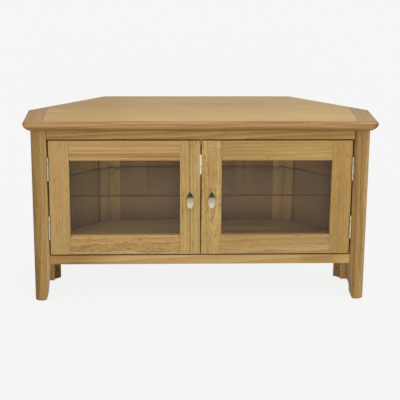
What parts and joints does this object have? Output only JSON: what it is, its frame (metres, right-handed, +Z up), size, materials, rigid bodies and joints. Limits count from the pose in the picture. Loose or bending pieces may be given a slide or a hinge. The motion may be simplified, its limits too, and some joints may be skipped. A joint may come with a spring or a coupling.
{
  "type": "corner television cabinet",
  "caption": "Low oak corner television cabinet with a moulded top, cut-off back corners, tapered front legs, framed glazed doors on butt hinges and a glass shelf.",
  "frame": {"origin": "on the floor under the middle of the cabinet's bounding box", "axes": "+Z up, the doors face -Y, +X towards the right-hand side as seen from the front"},
  "size_m": [1.08, 0.422, 0.578],
  "materials": {
    "oak_board": "satin lacquered oak, long grain",
    "oak_post": "satin lacquered oak posts",
    "oak_door": "satin lacquered oak, quarter and crown cut",
    "oak_wall": "satin lacquered oak",
    "back_board": "oak veneered board",
    "door_glass": "clear float glass with a faint smoke tint",
    "shelf_glass": "clear float glass, ground edge",
    "nickel": "satin nickel plate",
    "steel": "zinc plated steel",
    "catch_plastic": "moulded plastic"
  },
  "bodies": {
    "carcass": {"top_centre_board": "oak_board", "top_front_lipping": "oak_board", "front_top_rail": "oak_board", "front_bottom_rail": "oak_board", "floor_panel": "oak_board", "top_end_board_left": "oak_board", "top_end_board_right": "oak_board", "front_leg_left": "oak_post", "front_leg_right": "oak_post", "middle_leg_left": "oak_post", "middle_leg_right": "oak_post", "rear_leg_left": "oak_post", "rear_leg_right": "oak_post", "side_top_rail_left": "oak_wall", "side_top_rail_right": "oak_wall", "side_bottom_rail_left": "oak_wall", "side_bottom_rail_right": "oak_wall", "side_panel_left": "oak_wall", "side_panel_right": "oak_wall", "angled_front_stile_left": "oak_wall", "angled_front_stile_right": "oak_wall", "angled_rear_stile_left": "oak_wall", "angled_rear_stile_right": "oak_wall", "angled_top_rail_left": "oak_wall", "angled_top_rail_right": "oak_wall", "angled_bottom_rail_left": "oak_wall", "angled_bottom_rail_right": "oak_wall", "back_top_rail": "oak_wall", "back_bottom_rail": "oak_wall", "angled_panel_left": "back_board", "angled_panel_right": "back_board", "back_panel": "back_board", "glass_shelf": "shelf_glass", "front_shelf_pin_left": "nickel", "front_shelf_pin_right": "nickel", "rear_shelf_pin_left": "nickel", "rear_shelf_pin_right": "nickel", "magnetic_catch": "catch_plastic", "hinge_left_lower_leg_leaf": "steel", "hinge_left_upper_leg_leaf": "steel", "hinge_right_lower_leg_leaf": "steel", "hinge_right_upper_leg_leaf": "steel"},
    "door_left": {"door_left_hinge_stile": "oak_door", "door_left_lock_stile": "oak_door", "door_left_top_rail": "oak_door", "door_left_bottom_rail": "oak_door", "door_left_glass": "door_glass", "door_left_knob": "nickel", "door_left_strike_plate": "steel", "hinge_left_lower_door_leaf": "steel", "hinge_left_upper_door_leaf": "steel"},
    "door_right": {"door_right_hinge_stile": "oak_door", "door_right_lock_stile": "oak_door", "door_right_top_rail": "oak_door", "door_right_bottom_rail": "oak_door", "door_right_glass": "door_glass", "door_right_knob": "nickel", "door_right_strike_plate": "steel", "hinge_right_lower_door_leaf": "steel", "hinge_right_upper_door_leaf": "steel"}
  },
  "joints": [
    {"name": "door_left_hinge", "type": "hinge", "parent": "carcass", "child": "door_left", "pos_m": [-0.469, -0.1912, 0.3367], "axis": [0, 0, -1], "range_deg": [0, 110]},
    {"name": "door_right_hinge", "type": "hinge", "parent": "carcass", "child": "door_right", "pos_m": [0.469, -0.1912, 0.3367], "axis": [0, 0, 1], "range_deg": [0, 110]}
  ]
}
